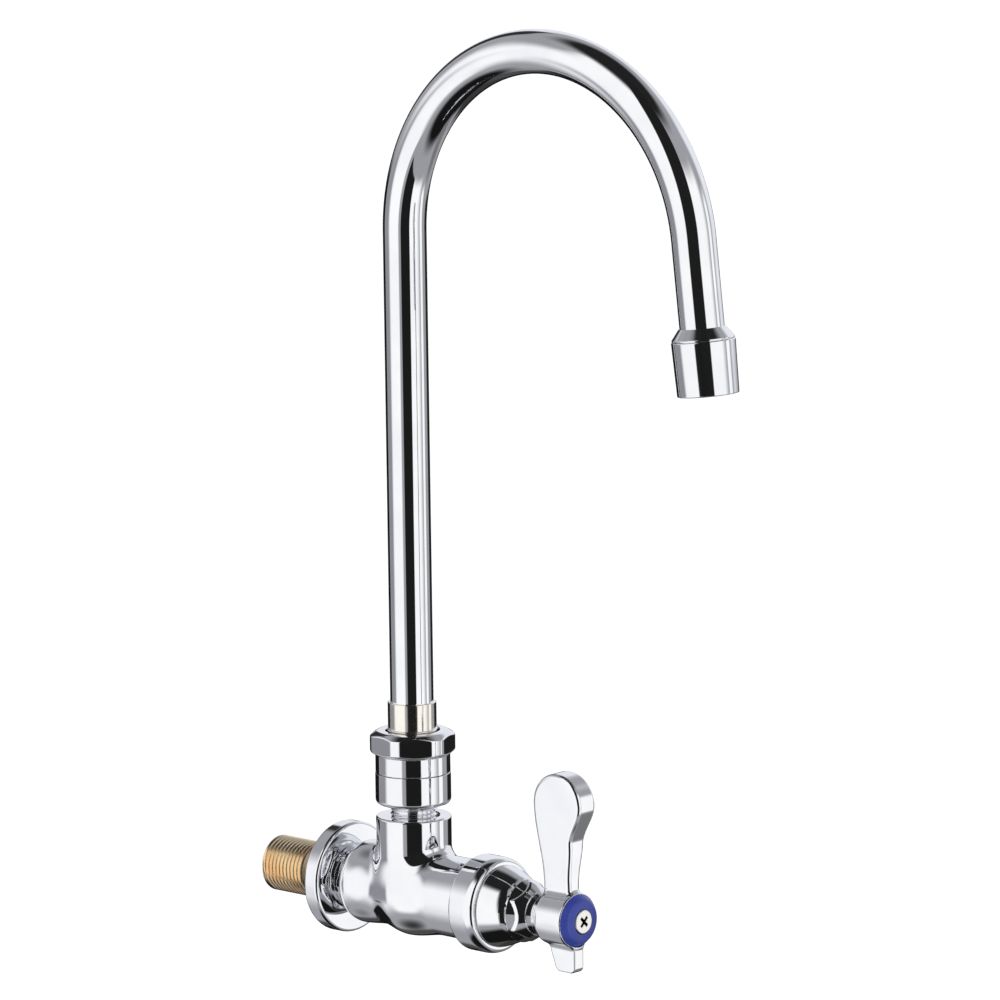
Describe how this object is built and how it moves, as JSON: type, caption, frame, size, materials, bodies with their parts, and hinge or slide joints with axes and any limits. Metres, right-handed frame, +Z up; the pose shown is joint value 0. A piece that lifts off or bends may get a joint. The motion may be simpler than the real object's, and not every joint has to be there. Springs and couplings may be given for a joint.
{
  "type": "commercial wall faucet",
  "caption": "Wall-mounted cold-water faucet: threaded inlet shank and flange, cast body with a quarter-turn lever valve, and a tall swivelling gooseneck spout with an aerator.",
  "frame": {"origin": "on the inlet shank's axis, in the plane of the wall behind the wall flange", "axes": "+Y along the inlet shank into the wall, -Y towards the lever and the user, +Z up along the spout's riser and its swivel axis, +X to the right of a user who faces the wall"},
  "size_m": [0.0416, 0.226, 0.3444],
  "materials": {
    "polished_chrome": "polished chrome plate on brass",
    "raw_brass": "turned, bare",
    "satin_sleeve": "satin, turned",
    "bright_steel": "bright nickel plate",
    "blue_plastic": "smooth, glossy",
    "white_plastic": "moulded",
    "ceramic": "lapped",
    "black_rubber": "moulded"
  },
  "bodies": {
    "faucet": {"inlet_nipple": "raw_brass", "wall_flange": "polished_chrome", "faucet_body": "polished_chrome", "housing_seal": "black_rubber", "swivel_housing": "polished_chrome", "slip_washer": "white_plastic", "spout_nut": "polished_chrome", "bonnet": "polished_chrome", "bonnet_o_ring": "black_rubber", "cartridge_housing": "raw_brass", "seat_seal": "black_rubber", "fixed_disc": "ceramic"},
    "spout": {"spout_ferrule": "satin_sleeve", "spout_o_rings": "black_rubber", "snap_ring": "bright_steel", "spout_tube": "polished_chrome", "outlet_adapter": "polished_chrome", "aerator_shell": "polished_chrome", "aerator_washer": "black_rubber", "aerator_insert": "white_plastic", "aerator_screen": "bright_steel"},
    "handle": {"valve_stem": "raw_brass", "stem_o_rings": "black_rubber", "stem_clip": "bright_steel", "moving_disc": "ceramic", "lever_handle": "polished_chrome", "index_ring": "blue_plastic", "handle_screw": "bright_steel"}
  },
  "joints": [
    {"name": "spout_swivel", "type": "hinge", "parent": "faucet", "child": "spout", "pos_m": [0, -0.0374, 0], "axis": [0, 0, 1], "continuous": true},
    {"name": "handle_turn", "type": "hinge", "parent": "faucet", "child": "handle", "pos_m": [0, 0, 0], "axis": [0, -1, 0], "range_deg": [0, 90]}
  ]
}
